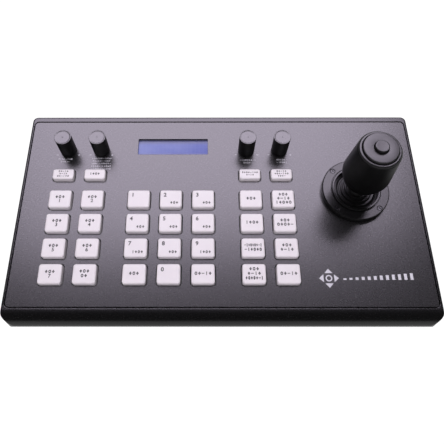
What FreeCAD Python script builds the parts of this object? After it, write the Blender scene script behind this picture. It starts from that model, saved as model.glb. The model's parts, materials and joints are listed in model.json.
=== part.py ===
import FreeCAD, Part
import math
import os

V = FreeCAD.Vector

# Desktop joystick control console.
# Row frame: +X to the operator's right, +Y away from the operator, +Z up, millimetres.
# The origin is at the middle of the object's outline, on the surface that it stands on.
# Everything that the sloping panel carries is drawn in the panel's own frame (x right, y up the
# slope, z out of the panel, zero at the middle of the panel's surface) and placed by on_panel().

# ---------------------------------------------------------------- driving dimensions
CASE_W = 320.0              # overall width
CASE_D = 175.0              # depth of the case, nose to rear wall
SLOPE = 8.0                 # slope of the panel, degrees
NOSE_R = 10.0               # half-round nose along the front
FOOT_H = 3.0                # height of the feet under the case
WALL = 2.5                  # wall of the upper case
FRONT_CORNER_R = 9.0        # plan radius of the front corners
REAR_CORNER_R = 4.5         # plan radius of the rear corners
RIM_R = 1.8                 # rounding of the rim

PANEL_W = 315.0             # groove round the panel plate, middle to middle
PANEL_D = 160.8
PANEL_FRONT_LIP = 1.5       # rim between the nose and the groove
GROOVE = 0.6                # width of the groove
PLATE_T = 2.0               # thickness of the panel plate
PLATE_R = 3.2               # plan radius of the plate's corners
PLATE_EDGE = 0.3            # chamfer round the plate
LEDGE_W = 6.0               # ledge that the plate is bonded to
LEDGE_T = 2.0

COVER_T = 1.2               # bottom cover
COVER_INSET = 5.0           # from the case's outline to the cover's edge
COVER_GAP = 0.3
COVER_LEDGE_W = 9.0         # ledge that the cover is screwed to
COVER_R = 2.0
VENT_X = 70.0               # middle of each group of vent slots
VENT_Y = 20.0
VENTS = 8                   # slots in a group
VENT_PITCH = 7.0
VENT_W = 2.4
VENT_L = 22.0
BOSS_R = 3.4                # screw bosses of the cover
BOSS_RISE = 7.0
FOOT_INSET = 24.0           # feet, from the sides of the case
FRONT_FOOT_Y = 18.0         # behind the nose's centre line
REAR_FOOT_Y = 20.0          # in front of the rear wall

SCREW_R = 1.4               # M3 screws: shank, head and the holes for them
SCREW_LENGTH = 6.0
SCREW_HEAD_R = 2.75
SCREW_HEAD_H = 1.6
SCREW_KEY = 2.0             # hexagon socket across its flats
SCREW_KEY_DEPTH = 0.9
TAPPED_R = 1.5
CLEAR_R = 1.7

COL_PITCH = 25.4            # key columns
ROW_PITCH = 20.5            # key rows
LEFT_COLS_X = -113.7        # middle of the two left columns
MID_COLS_X = -39.0          # middle of the three keypad columns
RIGHT_COLS_X = 36.7         # middle of the two right columns
TOP_ROW_Y = 5.6             # centre of the first row of large keys
SMALL_ROW_Y = 27.8          # centre of the row of small keys
SMALL_KEY_COLUMNS = (1, 2, 6, 7)
ROWS = 4
KEY_W = 17.8                # large key cap
KEY_D = 15.6
SMALL_KEY_W = 17.4          # small key cap
SMALL_KEY_D = 9.6
KEY_TOP = 3.5               # height of a key cap above the panel
KEY_R = 2.0                 # plan radius of a cap's corners
KEY_EDGE_R = 1.0            # rounding of a cap's top edge
KEY_GAP = 0.6               # gap between cap and panel, all round
KEY_WALL = 1.2
KEY_CEILING = 1.8
KEY_FLANGE = 1.1            # flange that keeps the cap under the panel, all round
KEY_FLANGE_T = 1.2
KEY_FLANGE_Z = -2.2         # top of the flange
KEY_BOSS_R = 2.4
PLUNGER_R = 1.7
PLUNGER_GAP = 0.1
PLUNGER_END_Z = -6.4
SWITCH_SIDE = 12.0
SWITCH_EDGE = 0.5
SWITCH_TOP_Z = -5.2
SWITCH_BORE_END_Z = -8.0

BOARD_TOP_Z = -9.2          # main circuit board
BOARD_T = 1.6
BOARD_R = 2.0
BOARD_X = (-147.0, 72.0)
BOARD_Y = (-70.0, 71.0)
POST_FLATS = 5.2            # board posts, hexagonal
POST_TAP_DEPTH = 5.2
POST_X = (-141.0, -82.7, 5.2, 66.0)
POST_Y = (-66.0, 66.0)

KNOB_PAIR_X = (-111.7, 35.7)
KNOB_PITCH = 27.4
KNOB_Y = 52.0
KNOB_R = 6.7
KNOB_TOP = 19.8
KNOB_BOTTOM = 0.8
KNOB_EDGE = 0.7             # chamfer of the knob's top edge
KNOB_LIP = 1.4              # lip round the dished top
KNOB_DISH = 0.3
KNOB_SKIRT_R = 5.7          # recess under the knob, over the bush and its nut
KNOB_SKIRT_H = 2.6
SHAFT_R = 3.0
SHAFT_TOP = 15.0
SHAFT_END = 1.2             # end of the shaft above the board
RUN_FIT = 0.05              # radial running clearance of shafts and pins
ENCODER_SIDE = 12.0
ENCODER_EDGE = 0.6
ENCODER_TOP_Z = -2.7
ENCODER_BORE_END = 0.8      # end of the bore above the board
BUSH_R = 3.4
BUSH_TOP = 2.4
NUT_FLATS = 9.0
NUT_H = 1.6

WINDOW_X = -38.9            # display
WINDOW_Y = 55.6
WINDOW_W = 58.0
WINDOW_D = 15.0
WINDOW_R = 0.6
WINDOW_T = 1.2
WINDOW_LAP = 3.0            # how far the window runs under the plate
MODULE_W = 80.0
MODULE_D = 29.0
MODULE_R = 1.5
MODULE_EDGE = 0.4

STICK_X = 106.7             # joystick
STICK_Y = 12.7
FLANGE_R = 26.3
FLANGE_T = 5.2
FLANGE_EDGE = 0.7
CLAMP_R = 19.0              # raised ring that clamps the boot
CLAMP_TOP = 6.8
CLAMP_EDGE = 0.4
CLAMP_GROOVE = (0.6, 0.8)   # width and depth of the groove round the clamp ring
FLANGE_BORE_R = 17.0
FLANGE_SCREW_AT = 16.4      # each way from the joystick's centre
FLANGE_SINK = 1.6           # depth of the flange screws' seats
PANEL_HOLE_R = 15.5
PIVOT_Z = -14.0             # gimbal centre below the panel
HOUSING_HALF = 23.0
HOUSING_WALL = 4.0
HOUSING_FLOOR = 2.0
HOUSING_TOP_HALF = 25.0
HOUSING_TOP_T = 3.0
HOUSING_BOTTOM_Z = -27.0
YOKE_X = 13.0               # half sizes of the gimbal ring
YOKE_Y = 15.0
YOKE_WALL = 3.0
YOKE_HALF_H = 3.0
YOKE_R = 2.0
TRUNNION_R = 2.5
REAR_TRUNNION = 7.0         # how far the trunnions stand out of the gimbal ring
FRONT_TRUNNION = 11.0
SENSOR_R = 8.0
SENSOR_T = 7.0
SENSOR_BORE = 5.0
SENSOR_LUG = (11.0, 2.0, 3.0)   # half width, thickness and half height of the lugs
TILT_BOARD = (1.4, 5.0, 2.8)    # thickness, half length and half height
HUB_HALF = 7.0
HUB_HALF_H = 4.0
HUB_PIN_R = 2.0
STEM_R = 3.0                # stick between the hub and the collar
STICK_R = 4.0               # stick inside the grip
STICK_TOP = 55.5
COLLAR_R = 7.0
COLLAR_Z = (17.5, 22.6)

BOOT_SKIN = 1.0             # bellows boot; its dome is set out from the gimbal's centre
BOOT_RIDGES = 3
BOOT_RIDGE_H = 0.8
BOOT_VALLEY_D = 0.5
BOOT_FOOT = (38.2, 23.0)    # angle from the stick's axis and distance from the gimbal's centre
BOOT_ROOT = (21.6, 22.5)    # the same where the neck starts
BOOT_NECK_R = 8.3
BOOT_NECK_Z = (7.6, 19.0)
BOOT_BEAD_R = 16.9
BOOT_BEAD_TOP = 4.2

GRIP_BOTTOM = 23.0          # heights above the panel
GRIP_KINK = 32.3
GRIP_RIM = 62.6
GRIP_TOP = 63.9
GRIP_BOTTOM_R = 14.7
GRIP_KINK_R = 17.8
GRIP_RIM_R = 15.2
GRIP_TOP_R = 14.1
GRIP_EDGE = 0.7
GRIP_BEARING_R = 6.0        # space over the end of the stick
CAP_R = 12.3
CAP_GAP = 0.5
CAP_SEAT = 60.5
CAP_TOP = 65.6
CAP_EDGE = 0.6
GUIDE_R = 5.1               # button's guide in the cap
BUTTON_R = 4.8
BUTTON_TOP = 67.8
BUTTON_EDGE = 0.5
BUTTON_FLANGE = (6.2, 62.6, 64.0)   # radius, bottom and top of the flange that keeps the button in
BUTTON_STEM = (1.5, 62.2)           # radius and bottom of the stem that works the switch
BUTTON_SPACE = (6.6, 64.2)          # radius and top of the space for the flange
BUTTON_SWITCH_R = 5.0

SOCKET_X = (-66.0, -42.0)   # rear connectors
JACK_X = 62.0
SWITCH_X = 100.0
REAR_Z = 22.0
REAR_GAP = 0.3              # gap round each connector in the rear wall
SOCKET_PROUD = 0.4
SOCKET_SIZE = (16.0, 18.0, 13.4)
SOCKET_MOUTH = (11.8, 13.0, 8.4)
SOCKET_MOUTH_BOTTOM = 4.6   # below the socket's middle
LATCH_HALF = 3.0            # notch over the mouth for the plug's latch
LATCH_DEPTH = 6.0
LATCH_H = 2.2
JACK_R = 5.5
JACK_DEPTH = 14.0
JACK_BARREL_R = 3.1
JACK_BARREL_DEPTH = 10.0
JACK_PIN_R = 1.0
JACK_PIN_L = 9.0            # free length
JACK_PIN_ROOT = 0.5
SWITCH_BODY = (9.5, 15.0, 6.5)  # half width, depth and half height
BEZEL = (11.0, 1.5, 8.0)        # half width, thickness and half height
BEZEL_EDGE = 0.5
SWITCH_POCKET_DEPTH = 8.0
ROCKER_GAP = (0.6, 0.3)     # beside the rocker and over it
ROCKER_HALF = 7.0
ROCKER_RISE = 1.5
ROCKER_ROOT = -0.5
ROCKER_BELLY = -6.0
ROCKER_TILT = 12.0
ROCKER_H = 9.6
ROCKER_AXIS_OUT = 1.0       # rocker's axis in front of the rear wall

CUT = 1.0                   # how far a cutting block runs past the face that it cuts
BEYOND = 400.0              # larger than the case

# ---------------------------------------------------------------- derived places
SIN = math.sin(math.radians(SLOPE))
COS = math.cos(math.radians(SLOPE))
ROCKER_TIP = ROCKER_AXIS_OUT + (ROCKER_HALF * math.sin(math.radians(ROCKER_TILT))
                                + ROCKER_RISE * math.cos(math.radians(ROCKER_TILT)))
NOSE_Y = -(CASE_D + ROCKER_TIP) / 2.0
REAR_Y = NOSE_Y + CASE_D
NOSE_CY = NOSE_Y + NOSE_R
NOSE_CZ = FOOT_H + NOSE_R
TOP_Y = NOSE_CY - NOSE_R * SIN      # where the nose runs into the sloping top
TOP_Z = NOSE_CZ + NOSE_R * COS
PANEL_OFFSET = PANEL_FRONT_LIP + PANEL_D / 2.0
PANEL_PLACE = FreeCAD.Placement(
    V(0, TOP_Y + PANEL_OFFSET * COS, TOP_Z + PANEL_OFFSET * SIN),
    FreeCAD.Rotation(V(1, 0, 0), SLOPE),
)
PLATE_W = PANEL_W - GROOVE
PLATE_D = PANEL_D - GROOVE
FLOOR_Z = FOOT_H + WALL
HOUSING_TOP_Z = -PLATE_T
HOUSING_UNDER_TOP_Z = HOUSING_TOP_Z - HOUSING_TOP_T


# ---------------------------------------------------------------- shape helpers
def on_panel(shape):
    placed = shape.copy()
    placed.Placement = PANEL_PLACE.multiply(placed.Placement)
    return placed


def box(x0, x1, y0, y1, z0, z1):
    return Part.makeBox(x1 - x0, y1 - y0, z1 - z0, V(x0, y0, z0))


def middle_box(cx, cy, half_w, half_d, z0, z1):
    return box(cx - half_w, cx + half_w, cy - half_d, cy + half_d, z0, z1)


def vertical_edges(solid):
    edges = []
    for edge in solid.Edges:
        span = edge.BoundBox
        if span.XLength < 0.01 and span.YLength < 0.01:
            edges.append(edge)
    return edges


def edges_at_z(solid, z):
    edges = []
    for edge in solid.Edges:
        span = edge.BoundBox
        if abs(span.ZMin - z) < 0.01 and abs(span.ZMax - z) < 0.01:
            edges.append(edge)
    return edges


def round_box(cx, cy, w, d, z0, z1, r):
    solid = middle_box(cx, cy, w / 2.0, d / 2.0, z0, z1)
    return solid.makeFillet(r, vertical_edges(solid))


def disc(cx, cy, r, z0, z1):
    return Part.makeCylinder(r, z1 - z0, V(cx, cy, z0))


def rod(r, length, start, direction):
    return Part.makeCylinder(r, length, start, direction)


def revolve(points, cx, cy):
    """Solid turned about the upright line through (cx, cy); points are (radius, height)."""
    corners = [V(r, 0, z) for r, z in points]
    face = Part.Face(Part.makePolygon(corners + corners[:1]))
    solid = face.revolve(V(0, 0, 0), V(0, 0, 1), 360)
    solid.translate(V(cx, cy, 0))
    return solid


def hexagon(cx, cy, across_flats, z0, z1):
    radius = across_flats / math.sqrt(3.0)
    turns = [math.radians(60 * i) for i in range(7)]
    corners = [V(cx + radius * math.cos(a), cy + radius * math.sin(a), z0) for a in turns]
    return Part.Face(Part.makePolygon(corners)).extrude(V(0, 0, z1 - z0))


def save(name, shape):
    shape.exportStep("parts/%s.step" % name)


def save_group(name, solids):
    save(name, Part.makeCompound(solids))


# ---------------------------------------------------------------- case
def case_profile(inset):
    """Side view of the case, moved in by inset: nose, underside, rear wall and sloping top."""
    x = -CASE_W / 2.0 + inset
    r = NOSE_R - inset
    top_front = V(x, NOSE_CY - r * SIN, NOSE_CZ + r * COS)
    nose = V(x, NOSE_CY - r, NOSE_CZ)
    under = V(x, NOSE_CY, NOSE_CZ - r)
    rear_y = REAR_Y - inset
    rear_bottom = V(x, rear_y, NOSE_CZ - r)
    rear_top = V(x, rear_y, top_front.z + (rear_y - top_front.y) * SIN / COS)
    edges = [
        Part.Arc(top_front, nose, under).toShape(),
        Part.LineSegment(under, rear_bottom).toShape(),
        Part.LineSegment(rear_bottom, rear_top).toShape(),
        Part.LineSegment(rear_top, top_front).toShape(),
    ]
    return Part.Face(Part.Wire(edges))


def rim_edges(body):
    """The sloping top's edges at the sides and the rear, and the rear corners between them."""
    edges = []
    for edge in body.Edges:
        span = edge.BoundBox
        nose_line = span.XLength > CASE_W / 2.0 and span.YMax < 0
        if span.ZMin > TOP_Z - 0.5 and not nose_line:
            edges.append(edge)
    return edges


def front_corner_cuts(inset):
    """What the rounded front corners take off the nose, seen in plan."""
    r = FRONT_CORNER_R - inset
    front = NOSE_Y + inset
    top = TOP_Z + NOSE_R
    cuts = []
    for side in (-1, 1):
        centre = side * (CASE_W / 2.0 - inset - r)
        beyond = centre + side * (r + CUT)
        block = box(min(centre, beyond), max(centre, beyond), front - CUT, front + r, 0.0, top)
        cuts.append(block.cut(disc(centre, front + r, r, -CUT, top + CUT)))
    return cuts


def case_body(inset, rim_r=0.0):
    """The case as a closed block, moved in by inset, with its rim rounded by rim_r."""
    block = case_profile(inset).extrude(V(CASE_W - 2.0 * inset, 0, 0))
    rear_edges = [e for e in vertical_edges(block) if e.BoundBox.YMin > 0]
    block = block.makeFillet(REAR_CORNER_R - inset, rear_edges)
    if rim_r > 0:
        block = block.makeFillet(rim_r, rim_edges(block))
    return block.cut(front_corner_cuts(inset))


def cover_outline(inset):
    """Sides, front and rear of the bottom cover's pocket, moved in by inset."""
    x = CASE_W / 2.0 - COVER_INSET - inset
    return (-x, x, NOSE_CY + 2.0 + inset, REAR_Y - COVER_INSET - inset)


def cover_screw_places():
    left, right, front, rear = cover_outline(COVER_LEDGE_W / 2.0)
    middle = (front + rear) / 2.0
    corners = [(x, y) for x in (left, right) for y in (front, middle, rear)]
    return corners + [(0.0, front), (0.0, rear)]


def rear_cutouts():
    """Blocks that pass through the rear wall where the connectors sit."""
    inside = REAR_Y - WALL - CUT
    outside = REAR_Y + CUT
    cuts = []
    for x in SOCKET_X:
        half_w = SOCKET_SIZE[0] / 2.0 + REAR_GAP
        half_h = SOCKET_SIZE[2] / 2.0 + REAR_GAP
        cuts.append(box(x - half_w, x + half_w, inside, outside, REAR_Z - half_h, REAR_Z + half_h))
    cuts.append(rod(JACK_R + REAR_GAP, outside - inside, V(JACK_X, inside, REAR_Z), V(0, 1, 0)))
    half_w = SWITCH_BODY[0] + REAR_GAP
    half_h = SWITCH_BODY[2] + REAR_GAP
    cuts.append(box(SWITCH_X - half_w, SWITCH_X + half_w, inside, outside, REAR_Z - half_h, REAR_Z + half_h))
    return cuts


def make_upper_case():
    outer = case_body(0.0, RIM_R)
    pocket = round_box(0, 0, PANEL_W + GROOVE, PANEL_D + GROOVE, -PLATE_T, NOSE_R, PLATE_R + GROOVE)
    ledge_bottom = -PLATE_T - LEDGE_T
    throat = round_box(0, 0, PANEL_W - 2.0 * LEDGE_W, PANEL_D - 2.0 * LEDGE_W,
                       ledge_bottom - CUT, -PLATE_T + CUT, PLATE_R)
    below_ledge = middle_box(0, 0, BEYOND, BEYOND, ledge_bottom - BEYOND, ledge_bottom)
    hollow = case_body(WALL).common(on_panel(below_ledge))
    cover_pocket = box(*cover_outline(0.0), FOOT_H - CUT, FOOT_H + COVER_T)
    way_in = box(*cover_outline(COVER_LEDGE_W), FOOT_H, FLOOR_Z + CUT)
    shell = outer.cut([on_panel(pocket), on_panel(throat), hollow, cover_pocket, way_in])
    boss_top = FLOOR_Z + BOSS_RISE
    bosses = [disc(x, y, BOSS_R, FLOOR_Z - 0.5, boss_top) for x, y in cover_screw_places()]
    shell = shell.fuse(bosses)
    holes = [disc(x, y, TAPPED_R, FOOT_H, boss_top + CUT) for x, y in cover_screw_places()]
    return shell.cut(holes + rear_cutouts()).removeSplitter()


def make_bottom_cover():
    """Sheet cover with its screw holes and two groups of vent slots."""
    under = FOOT_H - CUT
    over = FOOT_H + COVER_T + CUT
    plate = box(*cover_outline(COVER_GAP), FOOT_H, FOOT_H + COVER_T)
    plate = plate.makeFillet(COVER_R, vertical_edges(plate))
    cuts = [disc(x, y, CLEAR_R, under, over) for x, y in cover_screw_places()]
    for middle in (-VENT_X, VENT_X):
        for i in range(VENTS):
            x = middle + (i - (VENTS - 1) / 2.0) * VENT_PITCH
            cuts.append(round_box(x, VENT_Y, VENT_W, VENT_L, under, over, 0.45 * VENT_W))
    return plate.cut(cuts)


def foot_places():
    x = CASE_W / 2.0 - FOOT_INSET
    return [(side * x, y) for side in (-1, 1) for y in (NOSE_CY + FRONT_FOOT_Y, REAR_Y - REAR_FOOT_Y)]


def make_feet():
    """Round rubber feet, tapered, with a rounded-off edge at the sole."""
    root_r = 8.6
    side_r = 8.0
    sole_r = 7.2
    edge_h = 0.8
    outline = [(0.0, 0.0), (sole_r, 0.0), (side_r, edge_h), (root_r, FOOT_H), (0.0, FOOT_H)]
    return [revolve(outline, x, y) for x, y in foot_places()]


def screw(x, y, seat_z):
    """M3 pan-head screw with a hexagon socket, its shank upwards from the face that it holds."""
    head_end = seat_z - SCREW_HEAD_H
    head = disc(x, y, SCREW_HEAD_R, head_end, seat_z)
    shank = disc(x, y, SCREW_R, seat_z, seat_z + SCREW_LENGTH)
    return head.fuse(shank).cut(hexagon(x, y, SCREW_KEY, head_end, head_end + SCREW_KEY_DEPTH))


def make_screws():
    screws = [screw(x, y, FOOT_H) for x, y in cover_screw_places()]
    screws += [on_panel(screw(x, y, BOARD_TOP_Z - BOARD_T)) for x in POST_X for y in POST_Y]
    return screws


# ---------------------------------------------------------------- keys and panel
def key_table():
    """Name, centre and size of every key cap; rows count from the rear."""
    columns = [LEFT_COLS_X + (i - 0.5) * COL_PITCH for i in range(2)]
    columns += [MID_COLS_X + (i - 1.0) * COL_PITCH for i in range(3)]
    columns += [RIGHT_COLS_X + (i - 0.5) * COL_PITCH for i in range(2)]
    keys = []
    for number, x in enumerate(columns, start=1):
        if number in SMALL_KEY_COLUMNS:
            keys.append(("key_small_c%d" % number, x, SMALL_ROW_Y, SMALL_KEY_W, SMALL_KEY_D))
        for row in range(ROWS):
            keys.append(("key_c%d_r%d" % (number, row + 1), x, TOP_ROW_Y - row * ROW_PITCH, KEY_W, KEY_D))
    return keys


def knob_table():
    knobs = []
    for pair, middle in enumerate(KNOB_PAIR_X):
        for i in range(2):
            knobs.append(("knob_%d" % (2 * pair + i + 1), middle + (i - 0.5) * KNOB_PITCH, KNOB_Y))
    return knobs


def make_key(x, y, w, d):
    """Hollow key cap with its retaining flange and centre boss, and the switch plunger under it."""
    flange_bottom = KEY_FLANGE_Z - KEY_FLANGE_T
    ceiling = KEY_TOP - KEY_CEILING
    cap = round_box(x, y, w, d, flange_bottom, KEY_TOP, KEY_R)
    cap = cap.makeFillet(KEY_EDGE_R, edges_at_z(cap, KEY_TOP))
    flange = round_box(x, y, w + 2.0 * KEY_FLANGE, d + 2.0 * KEY_FLANGE, flange_bottom, KEY_FLANGE_Z, KEY_R)
    hollow = round_box(x, y, w - 2.0 * KEY_WALL, d - 2.0 * KEY_WALL,
                       flange_bottom - CUT, ceiling, KEY_R - KEY_WALL)
    boss = disc(x, y, KEY_BOSS_R, flange_bottom, ceiling)
    cap = cap.fuse(flange).cut(hollow).fuse(boss).removeSplitter()
    plunger = disc(x, y, PLUNGER_R, PLUNGER_END_Z, flange_bottom)
    return Part.makeCompound([cap, plunger])


def make_key_switches():
    """Switch under each key, shortened under the small keys, with the bore that its plunger runs in."""
    switches = []
    half = SWITCH_SIDE / 2.0
    for _, x, y, _, depth in key_table():
        block = middle_box(x, y, half, min(half, depth / 2.0 + 1.0), BOARD_TOP_Z, SWITCH_TOP_Z)
        block = block.makeChamfer(SWITCH_EDGE, edges_at_z(block, SWITCH_TOP_Z))
        bore = disc(x, y, PLUNGER_R + PLUNGER_GAP, SWITCH_BORE_END_Z, SWITCH_TOP_Z + CUT)
        switches.append(block.cut(bore))
    return switches


def make_panel_plate():
    """Panel plate with the openings for the keys, knobs, window, joystick and its screws."""
    under = -PLATE_T - CUT
    plate = round_box(0, 0, PLATE_W, PLATE_D, -PLATE_T, 0.0, PLATE_R)
    plate = plate.makeChamfer(PLATE_EDGE, edges_at_z(plate, 0.0))
    cuts = []
    for _, x, y, w, d in key_table():
        cuts.append(round_box(x, y, w + 2.0 * KEY_GAP, d + 2.0 * KEY_GAP, under, CUT, KEY_R + KEY_GAP))
    for _, x, y in knob_table():
        cuts.append(disc(x, y, BUSH_R + 0.2, under, CUT))
    cuts.append(round_box(WINDOW_X, WINDOW_Y, WINDOW_W, WINDOW_D, under, CUT, WINDOW_R))
    cuts.append(disc(STICK_X, STICK_Y, PANEL_HOLE_R, under, CUT))
    cuts += [disc(x, y, CLEAR_R, under, CUT) for x, y in flange_screw_places()]
    return plate.cut(cuts)


def make_board():
    bottom = BOARD_TOP_Z - BOARD_T
    board = box(*BOARD_X, *BOARD_Y, bottom, BOARD_TOP_Z)
    board = board.makeFillet(BOARD_R, vertical_edges(board))
    holes = [disc(x, y, CLEAR_R, bottom - CUT, BOARD_TOP_Z + CUT) for x in POST_X for y in POST_Y]
    return board.cut(holes)


def make_posts():
    posts = []
    for x in POST_X:
        for y in POST_Y:
            post = hexagon(x, y, POST_FLATS, BOARD_TOP_Z, -PLATE_T)
            tapped = disc(x, y, TAPPED_R, BOARD_TOP_Z - CUT, BOARD_TOP_Z + POST_TAP_DEPTH)
            posts.append(post.cut(tapped))
    return posts


def make_window():
    return round_box(WINDOW_X, WINDOW_Y, WINDOW_W + 2.0 * WINDOW_LAP, WINDOW_D + 2.0 * WINDOW_LAP,
                     -PLATE_T - WINDOW_T, -PLATE_T, WINDOW_R)


def make_display_module():
    top = -PLATE_T - WINDOW_T
    module = round_box(WINDOW_X, WINDOW_Y, MODULE_W, MODULE_D, BOARD_TOP_Z, top, MODULE_R)
    return module.makeChamfer(MODULE_EDGE, edges_at_z(module, top))


# ---------------------------------------------------------------- knobs and encoders
def make_knob(x, y):
    """Cylindrical knob with a dished top, and the encoder shaft pressed into it."""
    skirt_top = KNOB_BOTTOM + KNOB_SKIRT_H
    foot_edge = 0.4
    outline = [
        (SHAFT_R, skirt_top), (KNOB_SKIRT_R, skirt_top), (KNOB_SKIRT_R, KNOB_BOTTOM),
        (KNOB_R - foot_edge, KNOB_BOTTOM), (KNOB_R, KNOB_BOTTOM + foot_edge),
        (KNOB_R, KNOB_TOP - KNOB_EDGE), (KNOB_R - KNOB_EDGE, KNOB_TOP), (KNOB_R - KNOB_LIP, KNOB_TOP),
        (KNOB_R - KNOB_LIP - KNOB_DISH, KNOB_TOP - KNOB_DISH), (0.0, KNOB_TOP - KNOB_DISH),
        (0.0, SHAFT_TOP), (SHAFT_R, SHAFT_TOP),
    ]
    knob = revolve(outline, x, y)
    shaft = disc(x, y, SHAFT_R, BOARD_TOP_Z + SHAFT_END, SHAFT_TOP)
    return Part.makeCompound([knob, shaft])


def make_encoders():
    """Rotary encoder under each knob, its bush through the panel and the nut on the bush."""
    solids = []
    half = ENCODER_SIDE / 2.0
    for _, x, y in knob_table():
        body = middle_box(x, y, half, half, BOARD_TOP_Z, ENCODER_TOP_Z)
        body = body.makeChamfer(ENCODER_EDGE, edges_at_z(body, ENCODER_TOP_Z))
        body = body.fuse(disc(x, y, BUSH_R, ENCODER_TOP_Z, BUSH_TOP))
        bore = disc(x, y, SHAFT_R + RUN_FIT, BOARD_TOP_Z + ENCODER_BORE_END, BUSH_TOP + CUT)
        solids.append(body.cut(bore))
        nut = hexagon(x, y, NUT_FLATS, 0.0, NUT_H)
        solids.append(nut.cut(disc(x, y, BUSH_R + RUN_FIT, -CUT, NUT_H + CUT)))
    return solids


# ---------------------------------------------------------------- joystick
def flange_screw_places():
    return [(STICK_X + i * FLANGE_SCREW_AT, STICK_Y + j * FLANGE_SCREW_AT) for i in (-1, 1) for j in (-1, 1)]


def make_flange():
    """Mounting ring with the raised ring that clamps the boot's foot, and its screw seats."""
    groove_r = CLAMP_R + CLAMP_GROOVE[0]
    groove_z = FLANGE_T - CLAMP_GROOVE[1]
    foot_edge = 0.3
    bore_edge = (0.4, 0.6)
    outline = [
        (FLANGE_BORE_R, 0.0), (FLANGE_R - foot_edge, 0.0), (FLANGE_R, foot_edge),
        (FLANGE_R, FLANGE_T - FLANGE_EDGE), (FLANGE_R - FLANGE_EDGE, FLANGE_T),
        (groove_r, FLANGE_T), (groove_r, groove_z), (CLAMP_R, groove_z),
        (CLAMP_R, CLAMP_TOP - CLAMP_EDGE), (CLAMP_R - CLAMP_EDGE, CLAMP_TOP),
        (FLANGE_BORE_R + bore_edge[0], CLAMP_TOP), (FLANGE_BORE_R, CLAMP_TOP - bore_edge[1]),
    ]
    ring = revolve(outline, STICK_X, STICK_Y)
    hole_r = 1.6
    seat_r = 2.1
    cuts = []
    for x, y in flange_screw_places():
        cuts.append(disc(x, y, hole_r, -CUT, FLANGE_T + CUT))
        cuts.append(disc(x, y, seat_r, FLANGE_T - FLANGE_SINK, FLANGE_T + 2.0 * CUT))
    return ring.cut(cuts)


def make_flange_screws():
    """Button-head screws through the flange and the panel into the gimbal housing."""
    seat = FLANGE_T - FLANGE_SINK
    head_r = 1.9
    crown_r = 1.5
    side_h = 1.0
    head_h = 1.4
    shank_r = 1.3
    key_flats = 1.7
    top = seat + head_h
    outline = [(0.0, seat), (head_r, seat), (head_r, seat + side_h), (crown_r, top), (0.0, top)]
    screws = []
    for x, y in flange_screw_places():
        shank = disc(x, y, shank_r, HOUSING_UNDER_TOP_Z + 0.4, seat)
        socket = hexagon(x, y, key_flats, seat + 0.5, top + CUT)
        screws.append(revolve(outline, x, y).fuse(shank).cut(socket))
    return screws


def make_gimbal_housing():
    """Square box under the panel that carries the pan trunnions."""
    x, y = STICK_X, STICK_Y
    corner_r = 4.0
    wall_corner_r = 3.0
    tapped_r = 1.35
    flange = round_box(x, y, 2 * HOUSING_TOP_HALF, 2 * HOUSING_TOP_HALF,
                       HOUSING_UNDER_TOP_Z, HOUSING_TOP_Z, corner_r)
    walls = round_box(x, y, 2 * HOUSING_HALF, 2 * HOUSING_HALF,
                      HOUSING_BOTTOM_Z, HOUSING_UNDER_TOP_Z, wall_corner_r)
    inner = HOUSING_HALF - HOUSING_WALL
    chamber = middle_box(x, y, inner, inner, HOUSING_BOTTOM_Z + HOUSING_FLOOR, HOUSING_UNDER_TOP_Z)
    reach = HOUSING_HALF + CUT
    trunnion_bore = rod(TRUNNION_R + RUN_FIT, 2.0 * reach, V(x, y - reach, PIVOT_Z), V(0, 1, 0))
    under = HOUSING_UNDER_TOP_Z - CUT
    over = HOUSING_TOP_Z + CUT
    cuts = [chamber, disc(x, y, PANEL_HOLE_R, under, over), trunnion_bore]
    cuts += [disc(sx, sy, tapped_r, under, over) for sx, sy in flange_screw_places()]
    return flange.fuse(walls).cut(cuts).removeSplitter()


def make_pan_sensor():
    """Angle sensor on the front face of the gimbal housing, round the front trunnion."""
    face_y = STICK_Y - HOUSING_HALF
    half_w, thickness, half_h = SENSOR_LUG
    body = rod(SENSOR_R, SENSOR_T, V(STICK_X, face_y - SENSOR_T, PIVOT_Z), V(0, 1, 0))
    lugs = middle_box(STICK_X, face_y - thickness / 2.0, half_w, thickness / 2.0,
                      PIVOT_Z - half_h, PIVOT_Z + half_h)
    bore = rod(TRUNNION_R + RUN_FIT, SENSOR_BORE, V(STICK_X, face_y - SENSOR_BORE, PIVOT_Z), V(0, 1, 0))
    return body.fuse(lugs).cut(bore).removeSplitter()


def make_pan_yoke():
    """Gimbal ring with its trunnions fore and aft, and the tilt sensor board on its right side."""
    x, y, z = STICK_X, STICK_Y, PIVOT_Z
    ring = round_box(x, y, 2 * YOKE_X, 2 * YOKE_Y, z - YOKE_HALF_H, z + YOKE_HALF_H, YOKE_R)
    window = middle_box(x, y, YOKE_X - YOKE_WALL, YOKE_Y - YOKE_WALL,
                        z - YOKE_HALF_H - CUT, z + YOKE_HALF_H + CUT)
    rear_pin = rod(TRUNNION_R, REAR_TRUNNION + 1.0, V(x, y + YOKE_Y - 1.0, z), V(0, 1, 0))
    front_pin = rod(TRUNNION_R, FRONT_TRUNNION + 1.0, V(x, y - YOKE_Y + 1.0, z), V(0, -1, 0))
    reach = YOKE_X + CUT
    bore = rod(HUB_PIN_R + RUN_FIT, 2.0 * reach, V(x - reach, y, z), V(1, 0, 0))
    ring = ring.cut(window).fuse([rear_pin, front_pin]).cut(bore).removeSplitter()
    thickness, half_l, half_h = TILT_BOARD
    board = box(x + YOKE_X, x + YOKE_X + thickness, y - half_l, y + half_l, z - half_h, z + half_h)
    return Part.makeCompound([ring, board])


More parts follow.
